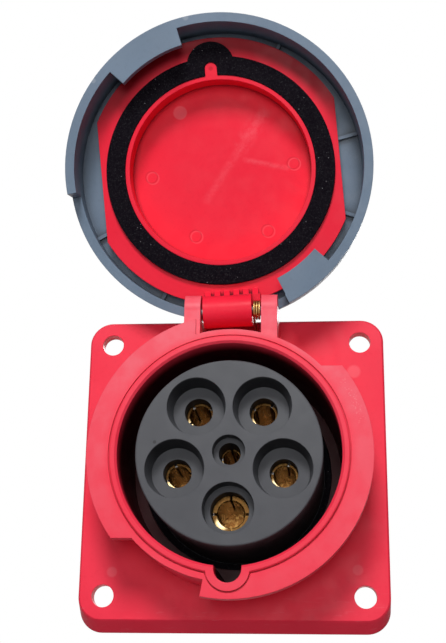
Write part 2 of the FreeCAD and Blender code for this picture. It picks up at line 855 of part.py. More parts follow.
def screw_shape(label, shank_radius, shank_length, head_radius, head_height):
    """A slotted screw with its tip down and the underside of its head at the origin."""
    body = new_body(label)
    shank = new_sketch(body, f"{label}_shank_outline", level=-shank_length)
    circle(shank, 0, 0, shank_radius)
    pad(body, f"{label}_shank", shank, shank_length)
    head = new_sketch(body, f"{label}_head_outline")
    circle(head, 0, 0, head_radius)
    pad(body, f"{label}_head", head, head_height)
    slot = new_sketch(body, f"{label}_slot_outline", level=head_height)
    half = cell.screw_slot_width / 2
    long = head_radius + SPARE
    outline(slot, [(-half, -long), (half, -long), (half, long), (-half, long)])
    pocket(body, f"{label}_slot", slot, cell.screw_slot_depth)
    return body


def copies(label, piece, places):
    """A group of like pieces, each at its own place."""
    links = []
    for index, place in enumerate(places, start=1):
        link = doc.addObject("App::Link", f"{label}_{index}")
        link.LinkedObject = piece
        link.setExpression("Placement", f"placement({place})")
        links.append(link)
    group = doc.addObject("Part::Compound", label)
    group.Links = links
    group.Label = label


def facing_outward(angle, distance, level):
    """Place a screw on the face at this angle, its head pointing away from the socket axis."""
    x, z = on_face(angle, distance)
    turned = f"rotation(0; {as_size(angle).formula}; 0)"
    return f"vector({x.formula}; {(-level).formula}; {z.formula}); {turned}"


def facing_back(angle, distance, level):
    """Place a screw on the face at this angle, its head pointing into the wall."""
    x, z = on_face(angle, distance)
    return f"vector({x.formula}; {(-level).formula}; {z.formula}); rotation(0; 0; -90)"


def contacts_and_screws():
    """All six contacts, their spring rings and the screws of their clamps."""
    clamp_back = -cell.clamp_end
    first_level = clamp_back + cell.clamp_screw_from_end
    levels = [first_level, first_level + cell.clamp_screw_pitch]
    clamp = (cell.clamp_radius, clamp_back, cell.wire_bore_radius, cell.wire_bore_depth,
             cell.clamp_screw_radius, levels)
    pilot_back = -cell.pilot_clamp_end
    pilot_level = pilot_back + cell.pilot_screw_from_end
    pilot_clamp = (cell.pilot_clamp_radius, pilot_back, cell.pilot_wire_bore_radius,
                   cell.pilot_wire_bore_depth, cell.pilot_screw_radius, [pilot_level])
    bores = {"earth": (cell.earth_bore_radius, cell.earth_setback),
             "pilot": (cell.pilot_bore_radius, cell.pilot_setback)}
    phase_bore = (cell.phase_bore_radius, cell.phase_setback)
    for name, angle, distance, sleeve_radius in contact_kinds():
        bore_radius, setback = bores.get(name, phase_bore)
        used_clamp = pilot_clamp if name == "pilot" else clamp
        contact(name, sleeve_radius, bore_radius, setback, used_clamp, angle, distance)
        spring_ring(name, sleeve_radius, setback, angle, distance)

    seat = cell.clamp_radius - cell.clamp_flat_depth
    shank = seat - cell.wire_bore_radius - cell.screw_tip_setback
    screw = screw_shape("clamp_screw", cell.clamp_screw_radius, shank,
                        cell.clamp_screw_head_radius, cell.clamp_screw_head_height)
    places = [facing_outward(angle, cell.contact_circle_radius + seat, level)
              for angle in [*PHASE_ANGLES.values(), EARTH_ANGLE] for level in levels]
    copies("terminal_screws", screw, places)

    seat = cell.pilot_clamp_radius - cell.clamp_flat_depth
    shank = seat - cell.pilot_wire_bore_radius - cell.screw_tip_setback
    body = screw_shape("pilot_screw", cell.pilot_screw_radius, shank,
                       cell.pilot_screw_head_radius, cell.pilot_screw_head_height)
    body.setExpression("Placement", f"placement({facing_outward(0, seat, pilot_level)})")


def terminal_carrier():
    """The rear insulator that traps the contacts and parts the wires with five barriers."""
    body = new_body("terminal_carrier")
    base_radius = insert_radius + cell.terminal_base_reach
    profile = new_sketch(body, "terminal_base_profile", "XZ_Plane")
    outline(profile, [
        (0, terminal_base_back),
        (base_radius, terminal_base_back),
        (base_radius, terminal_flange_back),
        (collar_radius, terminal_flange_back),
        (collar_radius, tube_end),
        (carrier_flange_radius, tube_end),
        (carrier_flange_radius, carrier_back),
        (0, carrier_back),
    ])
    turn(body, "terminal_base", profile)
    ears = new_sketch(body, "terminal_ear_outlines", level=terminal_flange_back)
    circles_at(ears, POST_ANGLES, post_circle_radius, cell.post_radius)
    pad(body, "terminal_ears", ears, cell.terminal_flange_thickness)
    screws = new_sketch(body, "carrier_screw_hole_outlines", level=tube_end)
    hole_radius = cell.carrier_screw_radius + cell.carrier_screw_hole_play
    circles_at(screws, POST_ANGLES, post_circle_radius, hole_radius)
    pocket(body, "carrier_screw_holes", screws, cell.terminal_flange_thickness)
    passages = new_sketch(body, "clamp_passage_outlines", level=carrier_back)
    seats = new_sketch(body, "contact_seat_outlines", level=carrier_back)
    for name, angle, distance, _ in contact_kinds():
        middle = on_face(angle, distance)
        seat_radius = contact_flange_radius(name) + cell.terminal_play
        circle(seats, *middle, seat_radius)
        circle(passages, *middle, seat_radius - cell.contact_flange_reach)
    pocket(body, "clamp_passages", passages, carrier_back - terminal_base_back)
    pocket(body, "contact_seats", seats, cell.contact_flange_thickness)
    barrier_back = -cell.barrier_end
    barrier = new_sketch(body, "barrier_outline", level=barrier_back)
    half = cell.barrier_thickness / 2
    outline(barrier, [
        (-half, cell.barrier_inner),
        (half, cell.barrier_inner),
        (half, cell.barrier_outer),
        (-half, cell.barrier_outer),
    ])
    first = pad(body, "barrier", barrier, terminal_base_back - barrier_back)
    polar(body, "barriers", first, 5)
    stand_on_wall(body)


def carrier_screws():
    """The four screws that hold both insulators in the housing."""
    screw = screw_shape("carrier_screw", cell.carrier_screw_radius, cell.carrier_screw_length,
                        cell.carrier_screw_head_radius, cell.carrier_screw_head_height)
    places = [facing_back(angle, post_circle_radius, terminal_flange_back) for angle in POST_ANGLES]
    copies("carrier_screws", screw, places)


def lid_cap():
    """The red lid: flange, cup, seat for the gasket, arm and hinge barrel."""
    body = new_body("lid_cap")
    bevel = cell.hub_round
    profile = new_sketch(body, "lid_profile", "XZ_Plane")
    outline(profile, [
        (0, lid_face),
        (lid_flange_radius, lid_face),
        (lid_flange_radius, lid_flange_back),
        (hub_radius, lid_flange_back),
        (hub_radius, lid_top - bevel, bevel, 1),
        (hub_radius - bevel, lid_top),
        (0, lid_top),
    ])
    turn(body, "lid_disc", profile)

    width = lid_flange_radius
    for name, inner, outer in (("left", -width, -lid_flat), ("right", lid_flat, width)):
        flat = new_sketch(body, f"{name}_flat_outline", level=lid_flange_back)
        outline(flat, [(inner, -width), (outer, -width), (outer, width), (inner, width)])
        pocket(body, f"{name}_flat", flat, cell.lid_flange_thickness)

    lobe = new_sketch(body, "lobe_seat_outline", level=lid_face)
    circle(lobe, 0, -gasket_lobe_centre, cell.gasket_lobe_radius + cell.gasket_play)
    pocket(body, "lobe_seat", lobe, cell.gasket_seat_depth, upward=True)
    seat = new_sketch(body, "gasket_seat_outline", level=lid_face)
    circle(seat, 0, 0, seat_outer_radius)
    pocket(body, "gasket_seat", seat, cell.gasket_seat_depth, upward=True)

    lip_front = lid_face - cell.cup_lip_rise
    lip = new_sketch(body, "cup_lip_outline", level=lip_front)
    circle(lip, 0, 0, lip_outer_radius)
    pad(body, "cup_lip", lip, gasket_back - lip_front)
    tongue_root = cup_radius + cell.cup_lip_width / 2
    tongue_centre = lip_outer_radius + cell.tongue_reach - cell.tongue_radius
    tongue = new_sketch(body, "tongue_outline", level=lip_front)
    outline(tongue, [
        (-cell.tongue_radius, -tongue_centre),
        (cell.tongue_radius, -tongue_centre),
        (cell.tongue_radius, -tongue_root),
        (-cell.tongue_radius, -tongue_root),
    ])
    pad(body, "tongue", tongue, gasket_back - lip_front)
    tongue_end = new_sketch(body, "tongue_end_outline", level=lip_front)
    circle(tongue_end, 0, -tongue_centre, cell.tongue_radius)
    pad(body, "tongue_end", tongue_end, gasket_back - lip_front)
    cup = new_sketch(body, "cup_outline", level=lip_front)
    circle(cup, 0, 0, cup_radius)
    pocket(body, "cup", cup, cell.cup_depth + cell.cup_lip_rise, upward=True)

    arm_inner = hinge_y - cell.barrel_radius
    arm_root = hinge_z + cell.barrel_radius
    beam = new_sketch(body, "arm_outline", "YZ_Plane", -cell.arm_left)
    outline(beam, [
        (arm_inner, hinge_z),
        (arm_outer, hinge_z),
        (arm_outer, lid_flange_back),
        (arm_inner, lid_flange_back),
    ])
    pad(body, "arm", beam, cell.arm_left + cell.arm_right)
    web_foot = arm_root + cell.arm_web_gap
    web = new_sketch(body, "arm_web_outline", "YZ_Plane", -cell.arm_web_reach)
    outline(web, [
        (arm_inner, web_foot),
        (arm_outer, web_foot),
        (arm_outer, lid_flange_back),
        (arm_inner, lid_flange_back),
    ])
    pad(body, "arm_web", web, cell.arm_web_reach * 2)
    barrel = sketch_across_pin(body, "barrel_outline", -cell.arm_left)
    circle(barrel, 0, 0, cell.barrel_radius)
    pad(body, "barrel", barrel, cell.arm_left + cell.arm_right)
    bore = sketch_across_pin(body, "barrel_bore_outline", cell.arm_left + SPARE)
    circle(bore, 0, 0, cell.pin_radius + cell.pin_play)
    pocket(body, "barrel_bore", bore, (cell.arm_left + SPARE) * 2)

    count = int(cell.gusset_count.value)
    for index in range(count):
        centre = cell.gusset_pitch * (index - (count - 1) / 2)
        gusset = new_sketch(body, f"gusset_outline_{index + 1}", "YZ_Plane", centre - cell.gusset_width / 2)
        outline(gusset, [
            (arm_inner - cell.gusset_depth, lid_face),
            (arm_inner, lid_face - cell.gusset_height),
            (arm_inner + cell.gusset_root_depth, lid_face),
        ])
        pad(body, f"gusset_{index + 1}", gusset, cell.gusset_width)

    catch_base = ring_back + cell.catch_play
    half = cell.catch_width / 2
    catch = new_sketch(body, "catch_outline", level=catch_base)
    side = hub_radius - cell.catch_root_depth
    outer = hub_radius + cell.catch_reach
    outline(catch, [
        (-half, other_leg(side, half)),
        (half, other_leg(side, half)),
        (half, other_leg(outer, half), outer, 1),
        (-half, other_leg(outer, half)),
    ])
    first = pad(body, "catch", catch, cell.catch_height)
    polar(body, "catches", first, 4)
    swing_open(body)


def lid_gasket():
    """The black seal, with the lobe that closes the keyway."""
    body = new_body("lid_gasket")
    depth = cell.gasket_proud + cell.gasket_seat_depth
    ring = new_sketch(body, "gasket_ring_outline", level=gasket_front)
    circle(ring, 0, 0, gasket_outer_radius)
    pad(body, "gasket_ring", ring, depth)
    lobe = new_sketch(body, "gasket_lobe_outline", level=gasket_front)
    circle(lobe, 0, -gasket_lobe_centre, cell.gasket_lobe_radius)
    pad(body, "gasket_lobe", lobe, depth)
    inside = new_sketch(body, "gasket_hole_outline", level=gasket_back)
    circle(inside, 0, 0, lip_outer_radius + cell.gasket_play)
    pocket(body, "gasket_hole", inside, depth)
    reach = lip_outer_radius + cell.tongue_reach - cell.tongue_radius
    half = cell.tongue_radius + cell.gasket_play
    notch = new_sketch(body, "tongue_notch_outline", level=gasket_back)
    outline(notch, [
        (-half, -reach),
        (half, -reach),
        (half, -cup_radius),
        (-half, -cup_radius),
    ])
    pocket(body, "tongue_notch", notch, depth)
    notch_end = new_sketch(body, "notch_end_outline", level=gasket_back)
    circle(notch_end, 0, -reach, half)
    pocket(body, "notch_end", notch_end, depth)
    swing_open(body)


def locking_ring():
    """The grey bayonet ring, cut back at the hinge, with two tabs that turn under the lugs."""
    body = new_body("locking_ring")
    bevel = cell.ring_back_round
    cover_inner = hub_radius + cell.ring_cover_play
    profile = new_sketch(body, "ring_profile", "XZ_Plane")
    outline(profile, [
        (ring_inner_radius, ring_front),
        (ring_radius, ring_front),
        (ring_radius, ring_back - bevel, bevel, 1),
        (ring_radius - bevel, ring_back),
        (cover_inner, ring_back),
        (cover_inner, ring_cover_front),
        (ring_inner_radius, ring_cover_front),
    ])
    turn(body, "ring", profile)

    cut = new_sketch(body, "hinge_cut_outline", level=ring_front)
    sector(cut, ring_inner_radius - SPARE, ring_radius + SPARE, cell.ring_cut_from, cell.ring_cut_to)
    pocket(body, "hinge_cut", cut, cell.ring_cut_depth, upward=True)

    root = ring_radius - cell.ring_wall / 2
    for name, first, last in (("near", cell.near_tab_from, cell.near_tab_to),
                              ("far", cell.far_tab_from, cell.far_tab_to)):
        tab = new_sketch(body, f"{name}_tab_outline", level=ring_front)
        sector(tab, collar_radius + cell.tab_clearance, root, first, last)
        pad(body, f"{name}_tab", tab, cell.tab_thickness)

    rib_front = lid_flange_back + cell.ring_rib_play
    half = cell.ring_rib_thickness / 2
    for index, angle in enumerate(RING_RIB_ANGLES, start=1):
        rib = new_sketch(body, f"rib_outline_{index}", level=rib_front)
        side_x, side_y = cosine(as_size(angle)) * half, sine(as_size(angle)) * half
        inner_x, inner_y = on_face(angle, hub_radius + cell.ring_rib_gap)
        outer_x, outer_y = on_face(angle, root)
        outline(rib, [
            (inner_x - side_x, inner_y + side_y),
            (inner_x + side_x, inner_y - side_y),
            (outer_x + side_x, outer_y - side_y),
            (outer_x - side_x, outer_y + side_y),
        ])
        pad(body, f"rib_{index}", rib, ring_cover_front - rib_front)
    swing_open(body)


def hinge_pin():
    """The steel pin through both ears and the lid barrel."""
    body = new_body("hinge_pin")
    tip = cell.pin_chamfer
    profile = new_sketch(body, "pin_profile", "XZ_Plane")
    outline(profile, [
        (0, -pin_half_length),
        (cell.pin_radius - tip, -pin_half_length),
        (cell.pin_radius, -pin_half_length + tip),
        (cell.pin_radius, pin_half_length - tip),
        (cell.pin_radius - tip, pin_half_length),
        (0, pin_half_length),
    ])
    turn(body, "pin", profile)
    lay_along_pin(body)


def torsion_spring():
    """The coil round the pin between the lid barrel and the right ear, with a leg at each end."""
    body = new_body("torsion_spring")
    wire = cell.spring_wire_radius
    room = cell.ear_inner - cell.arm_right
    lift = room - wire * 2 - cell.spring_end_play * 2
    section = new_sketch(body, "wire_section", "XZ_Plane")
    circle(section, cell.spring_coil_radius, 0, wire)
    coil = body.newObject("PartDesign::AdditiveHelix", "coil")
    coil.Profile = section
    coil.ReferenceAxis = (section, ["V_Axis"])
    coil.Mode = "pitch-turns-angle"
    coil.LeftHanded = True
    coil.setExpression("Pitch", (lift / cell.spring_turns).formula)
    coil.setExpression("Turns", cell.spring_turns.formula)
    doc.recompute()
    plate_leg_length = cell.hinge_rise - cell.spring_seat_gap
    legs = (
        ("plate", cell.spring_coil_radius, as_size(0), plate_leg_length),
        ("lid", -cell.spring_coil_radius, lift, cell.spring_lid_leg),
    )
    for name, x, y, length in legs:
        leg = new_sketch(body, f"{name}_leg_section", "XZ_Plane")
        circle(leg, x, y, wire)
        shape_feature(body, "Pad", f"{name}_leg", leg, True, Length=length, Reversed=True)
    lay_along_pin(body, cell.arm_right + wire + cell.spring_end_play)


flange_housing()
flange_gasket()
carrier_seal()
contact_carrier()
contacts_and_screws()
terminal_carrier()
carrier_screws()
lid_cap()
lid_gasket()
locking_ring()
hinge_pin()
torsion_spring()
doc.recompute()

PATTERNS = ("clamp_screw", "carrier_screw")
NODES = [item for item in doc.Objects
         if item.TypeId in ("PartDesign::Body", "Part::Compound") and item.Label not in PATTERNS]

for item in doc.Objects:
    if "Invalid" in item.State or "Error" in item.State:
        raise RuntimeError(f"{item.Name} failed: {item.State}")
for node in NODES:
    if node.Shape.isNull() or not node.Shape.isValid():
        raise RuntimeError(f"{node.Label} has no valid shape")
os.makedirs("parts", exist_ok=True)
for node in NODES:
    node.Shape.exportStep(f"parts/{node.Label}.step")
    print(node.Label, len(node.Shape.Solids), round(node.Shape.Volume, 1))
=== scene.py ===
"""Looks for the wall socket: materials, light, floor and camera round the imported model."""
import math

import bpy
from mathutils import Matrix, Vector

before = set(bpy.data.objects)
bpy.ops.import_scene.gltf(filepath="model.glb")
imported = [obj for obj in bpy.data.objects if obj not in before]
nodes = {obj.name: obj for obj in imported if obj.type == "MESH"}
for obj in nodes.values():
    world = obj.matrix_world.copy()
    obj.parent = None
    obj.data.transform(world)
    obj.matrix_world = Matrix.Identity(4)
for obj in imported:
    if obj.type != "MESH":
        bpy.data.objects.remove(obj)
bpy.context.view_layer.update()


MM = 0.001

# Sizes that the marks on the surfaces are placed by, in millimetres
PLATE_FRONT = 5.5
LUG_FRONT = 31.0
RIM = 33.5
BORE = 42.0
KEYWAY_UP, KEYWAY = -42.8, 5.1
INSERT = 35.0
HINGE_UP, HINGE_OUT = 57.2, 25.5
TONGUE = 41.1
CUP_FLOOR = 45.0
IN_CUP = CUP_FLOOR - 1.5
LID_AXIS_END = 60.0
RING_FRONT = 22.5
PIN_TILT = math.radians(2.35)
LID_OPEN = math.radians(163)

# Each contact, where it stands on the wall and how far out its mouth is, in millimetres
CONTACTS = (
    ("contact_l1", -12.43, 17.11, 16.7),
    ("contact_l2", 12.43, 17.11, 16.7),
    ("contact_l3", 20.11, -6.54, 16.7),
    ("contact_n", -20.11, -6.54, 16.7),
    ("contact_earth", 0.0, -21.15, 18.7),
    ("contact_pilot", 0.0, 0.0, 18.0),
)
# Where the painted highlight sits on each contact's mouth, in millimetres: how far left and down
# of its axis, and its radius
GLINT_SIDE, GLINT = 3.4, 3.2

# Plastics: the plain colour, a lighter one for clouds and a darker one for grain
HOUSING_RED = (0.88, 0.026, 0.062), (0.92, 0.036, 0.076), (0.80, 0.016, 0.046)
LID_RED = (0.86, 0.014, 0.042), (0.90, 0.020, 0.050), (0.78, 0.008, 0.032)
RING_GREY = (0.110, 0.158, 0.224), (0.130, 0.184, 0.258), (0.084, 0.120, 0.168)
INSULATOR_DARK = (0.066, 0.067, 0.076), (0.077, 0.079, 0.088), (0.051, 0.052, 0.059)

# Depth of the fine texture, in millimetres
PLASTIC_GRAIN, PLASTIC_WAVES = 0.012, 0.05
METAL_GRAIN, RUBBER_GRAIN = 0.008, 0.02

# Stretch of the noise for tool lines, and for even ones
ACROSS_CONTACT = (0.15, 1.0, 0.15)
ALONG_CONTACT = (1.0, 0.08, 1.0)
ACROSS_PIN = (1.0, 0.15, 0.15)
EVEN = (0.3, 0.3, 0.3)

WHITE = (1.0, 1.0, 1.0)


def on_wall(x, up, out):
    """World place of a point given face on: to the right, up the wall and out of the wall."""
    return Vector((x, -out, up)) * MM


def on_lid(x, up, out):
    """World place of a point of the shut lid once the lid is open."""
    hinge = on_wall(0, HINGE_UP, HINGE_OUT)
    axis = Vector((math.cos(PIN_TILT), 0, math.sin(PIN_TILT)))
    return hinge + Matrix.Rotation(-LID_OPEN, 3, axis) @ (on_wall(x, up, out) - hinge)


def on_ring(angle, radius):
    """A point of the locking ring's front edge, clockwise from the top of the shut lid."""
    turn = math.radians(angle)
    return on_lid(radius * math.sin(turn), radius * math.cos(turn), RING_FRONT)


class Finish:
    """One material, built up from nodes on a Principled shader."""

    def __init__(self, name, roughness, metallic=0.0, bevel=0.35, gloss=0.5):
        self.material = bpy.data.materials.new(name)
        self.material.use_nodes = True
        self.tree = self.material.node_tree
        self.shader = self.tree.nodes["Principled BSDF"]
        self.shader.inputs["Metallic"].default_value = metallic
        self.shader.inputs["Roughness"].default_value = roughness
        self.shader.inputs["Specular IOR Level"].default_value = gloss
        self.place = self.add("ShaderNodeTexCoord").outputs["Object"]
        self.bumps = None
        if bevel:
            soft = self.add("ShaderNodeBevel")
            soft.samples = 4
            soft.inputs["Radius"].default_value = bevel * MM
            self.bumps = soft.outputs["Normal"]
            self.wire(self.bumps, self.shader.inputs["Normal"])

    def add(self, kind, **settings):
        node = self.tree.nodes.new(kind)
        for key, value in settings.items():
            setattr(node, key, value)
        return node

    def wire(self, source, socket):
        """Link an output to a socket, or set the socket to a constant."""
        if isinstance(source, bpy.types.NodeSocket):
            self.tree.links.new(source, socket)
        else:
            socket.default_value = source

    def math(self, operation, first, second, clamp=False):
        node = self.add("ShaderNodeMath", operation=operation, use_clamp=clamp)
        self.wire(first, node.inputs[0])
        self.wire(second, node.inputs[1])
        return node.outputs[0]

    def times(self, first, *others):
        """The product of outputs and numbers."""
        product = first
        for factor in others:
            product = self.math("MULTIPLY", product, factor)
        return product

    def vectors(self, operation, first, second):
        node = self.add("ShaderNodeVectorMath", operation=operation)
        self.wire(first, node.inputs[0])
        self.wire(second, node.inputs[1])
        return node

    def distance(self, first, second):
        return self.vectors("DISTANCE", first, second).outputs["Value"]

    def spread(self, value, low, high, to_low=0.0, to_high=1.0, smooth=True):
        """Map a range of one value onto another, clamped."""
        kind = "SMOOTHSTEP" if smooth else "LINEAR"
        node = self.add("ShaderNodeMapRange", interpolation_type=kind)
        self.wire(value, node.inputs["Value"])
        limits = {"From Min": low, "From Max": high, "To Min": to_low, "To Max": to_high}
        for key, number in limits.items():
            node.inputs[key].default_value = number
        return node.outputs["Result"]

    def over(self, length, low, high, to_low=0.0, to_high=1.0, smooth=True):
        """Spread a length or coordinate, from one place to another in millimetres."""
        return self.spread(length, low * MM, high * MM, to_low, to_high, smooth)

    def fading(self, distance, radius, softness):
        """One close by, fading to nothing at this many millimetres."""
        return self.over(distance, radius * (1 - softness), radius, 1.0, 0.0)

    def stretched(self, scale):
        node = self.add("ShaderNodeMapping")
        self.wire(self.place, node.inputs["Vector"])
        node.inputs["Scale"].default_value = scale
        return node.outputs["Vector"]

    def noise(self, size, detail=3.0, roughness=0.5, where=None):
        """Soft noise with features about this many millimetres across."""
        node = self.add("ShaderNodeTexNoise")
        self.wire(where or self.place, node.inputs["Vector"])
        node.inputs["Scale"].default_value = 1 / (size * MM)
        node.inputs["Detail"].default_value = detail
        node.inputs["Roughness"].default_value = roughness
        return node.outputs["Fac"]

    def specks(self, spacing, radius):
        """Small round specks, one to a cell of this spacing, both in millimetres."""
        node = self.add("ShaderNodeTexVoronoi", feature="F1")
        self.wire(self.place, node.inputs["Vector"])
        node.inputs["Scale"].default_value = 1 / (spacing * MM)
        edge = radius / spacing
        return self.spread(node.outputs["Distance"], edge * 0.6, edge, 1.0, 0.0)

    def open_sky(self, reach):
        """How openly the surface lies, looking this many millimetres round: one in the open."""
        node = self.add("ShaderNodeAmbientOcclusion", samples=8, only_local=True)
        node.inputs["Distance"].default_value = reach * MM
        return node.outputs["AO"]

    def split(self, vector, axis):
        node = self.add("ShaderNodeSeparateXYZ")
        self.wire(vector, node.inputs["Vector"])
        return node.outputs[axis]

    def along_axis(self, axis):
        """The coordinate on X, Y or Z of the piece as it stands with the lid open."""
        return self.split(self.place, axis)

    def facing(self, axis):
        """How far the surface faces along X, Y or Z, from minus one to one."""
        return self.split(self.add("ShaderNodeNewGeometry").outputs["Normal"], axis)

    def off_axis(self, up=0.0):
        """Distance from a line straight out of the wall, this many millimetres up the plate."""
        return self.distance(self.stretched((1.0, 0.0, 1.0)), (0.0, 0.0, up * MM))

    def near(self, point, radius, softness=0.4):
        """One inside a ball round the point, fading to nothing at its edge."""
        return self.fading(self.distance(self.place, point), radius, softness)

    def along(self, start, end, width, softness):
        """One along the straight line between two points, fading at this distance from it."""
        span = end - start
        offset = self.vectors("SUBTRACT", self.place, start).outputs["Vector"]
        per_length = span / span.length_squared
        share = self.vectors("DOT_PRODUCT", offset, per_length).outputs["Value"]
        share = self.math("ADD", share, 0.0, clamp=True)
        foot = self.add("ShaderNodeVectorMath", operation="SCALE")
        self.wire(span, foot.inputs[0])
        self.wire(share, foot.inputs["Scale"])
        return self.fading(self.distance(offset, foot.outputs["Vector"]), width, softness)

    def mixed(self, amount, first, second):
        """Mix two colours, each a triple or an output."""
        node = self.add("ShaderNodeMix", data_type="RGBA")
        self.wire(amount, node.inputs["Factor"])
        for socket, colour in ((node.inputs[6], first), (node.inputs[7], second)):
            linked = isinstance(colour, bpy.types.NodeSocket)
            self.wire(colour if linked else (*colour, 1.0), socket)
        return node.outputs[2]

    def colour(self, source):
        self.wire(source, self.shader.inputs["Base Color"])

    def rough(self, source):
        self.wire(source, self.shader.inputs["Roughness"])

    def bump(self, height, depth):
        """Raise the surface by the height map, this many millimetres at most."""
        node = self.add("ShaderNodeBump")
        node.inputs["Distance"].default_value = depth * MM
        self.wire(height, node.inputs["Height"])
        if self.bumps:
            self.wire(self.bumps, node.inputs["Normal"])
        self.bumps = node.outputs["Normal"]
        self.wire(self.bumps, self.shader.inputs["Normal"])

    def put_on(self, *names):
        for name in names:
            mesh_object = nodes[name]
            mesh_object.data.materials.clear()
            mesh_object.data.materials.append(self.material)


def moulded(name, colours, roughness, gloss):
    """A moulded plastic: slow change of colour, a fine grain and slightly uneven gloss."""
    base, light, dark = colours
    finish = Finish(name, roughness, gloss=gloss)
    slow = finish.noise(28, detail=2)
    colour = finish.mixed(finish.spread(slow, 0.35, 0.75), base, light)
    fine = finish.noise(1.6, detail=4, roughness=0.6)
    colour = finish.mixed(finish.spread(fine, 0.5, 0.8, 0.0, 0.35), colour, dark)
    cloud = finish.noise(7, detail=4)
    finish.rough(finish.spread(cloud, 0.3, 0.7, roughness - 0.05, roughness + 0.07))
    finish.bump(finish.noise(0.55, detail=2), PLASTIC_GRAIN)
    finish.bump(finish.noise(16, detail=1), PLASTIC_WAVES)
    return finish, colour


def painted_corner_shade(finish, colour, reach, shade, most):
    """Paint shade into a colour in the part's own corners and slots, where little light reaches.
    """
    shade_share = finish.spread(finish.open_sky(reach), 0.30, 0.72, most, 0.0)
    return finish.mixed(shade_share, colour, shade)


def finish_housing():
    finish, colour = moulded("housing_red", HOUSING_RED, 0.40, 0.14)
    pale = (0.93, 0.14, 0.18)

    # Painted highlight: a pale sheen on the raised faces, stronger towards the top and weaker on
    # the rim
    raised = finish.over(finish.along_axis("Y"), -26, -12, 1.0, 0.0)
    upward = finish.over(finish.along_axis("Z"), -60, 45, 0.08, 0.62, smooth=False)
    off_rim = finish.over(finish.off_axis(), BORE + 2.0, BORE + 6.5, 0.25, 1.0)
    patchy = finish.spread(finish.noise(9, detail=5, roughness=0.6), 0.35, 0.65, 0.65, 1.15)
    painted_sheen = finish.times(raised, upward, off_rim, patchy)
    colour = finish.mixed(painted_sheen, colour, (0.87, 0.165, 0.210))
    # Painted shade in the housing's own corners and slots
    colour = painted_corner_shade(finish, colour, 4, (0.20, 0.003, 0.010), 0.25)

    # Pale round marks on the front of the plate
    for x, up, radius in ((47.4, 37.9, 3.2), (-46.7, -41.0, 2.4), (47.3, -40.0, 2.4)):
        mark = finish.near(on_wall(x, up, PLATE_FRONT), radius)
        colour = finish.mixed(finish.times(mark, 0.5), colour, pale)

    # Pale speckles in a band along the edge of the right lug
    pale_speckles = finish.spread(finish.noise(0.7, detail=3, roughness=0.7), 0.56, 0.66)
    bend = on_wall(46.1, 20.8, LUG_FRONT)
    top, bottom = on_wall(43.0, 26.9, LUG_FRONT), on_wall(49.7, 10.3, LUG_FRONT)
    for start, end in ((top, bend), (bend, bottom)):
        band = finish.along(start, end, 3.0, 0.8)
        colour = finish.mixed(finish.times(band, pale_speckles, 0.55), colour, (0.95, 0.42, 0.46))

    # Scuffs towards the lower edge of the plate
    low = finish.over(finish.along_axis("Z"), -46, -58)
    sideways = finish.stretched((0.12, 1.0, 1.0))
    streaks = finish.noise(1.2, detail=5, roughness=0.65, where=sideways)
    scuffs = finish.times(finish.spread(streaks, 0.60, 0.72), low, 0.5)
    colour = finish.mixed(scuffs, colour, pale)

    # The shade in the well and the keyway, nearly black with depth
    in_bore = finish.over(finish.off_axis(), BORE + 0.5, BORE + 1.0, 1.0, 0.0)
    in_keyway = finish.over(finish.off_axis(KEYWAY_UP), KEYWAY + 0.2, KEYWAY + 0.5, 1.0, 0.0)
    inside = finish.math("MAXIMUM", in_bore, in_keyway)
    depth = finish.over(finish.along_axis("Y"), 1.0 - RIM, 11.5 - RIM, 0.0, 0.98)
    colour = finish.mixed(finish.times(inside, depth), colour, (0.024, 0.0005, 0.002))
    finish.colour(colour)
    finish.put_on("flange_housing")


